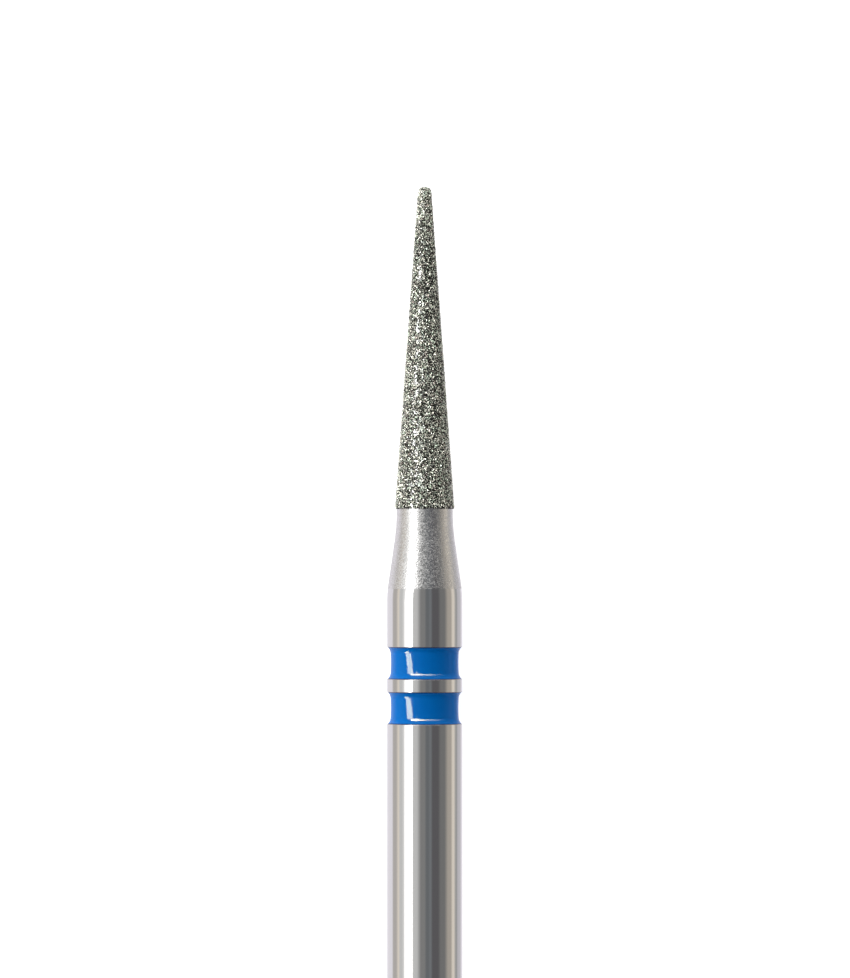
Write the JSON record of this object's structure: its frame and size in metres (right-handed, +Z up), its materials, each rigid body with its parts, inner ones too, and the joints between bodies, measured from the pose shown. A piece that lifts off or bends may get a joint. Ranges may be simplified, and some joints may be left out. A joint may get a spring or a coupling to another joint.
{
  "type": "dental bur",
  "caption": "Straight-shank dental bur with a long tapered, diamond-plated head and blue grit marker rings behind its neck.",
  "frame": {"origin": "on the surface that the bur lies on, under the middle of its length and of its shank's width", "axes": "+X along the bur, from the shank's end to the tip of the head; +Y across it; +Z up from the surface"},
  "size_m": [0.0446, 0.0024, 0.0023],
  "materials": {
    "steel": "stainless steel, ground and polished shank, fine-blasted matt neck",
    "diamond_grit": "diamond grains of about 0.1 mm bonded in matt nickel plating",
    "blue_lacquer": "glossy baked lacquer"
  },
  "bodies": {
    "root": {"steel_blank": "steel", "diamond_coating": "diamond_grit", "front_marker_ring": "blue_lacquer", "rear_marker_ring": "blue_lacquer"}
  },
  "joints": []
}
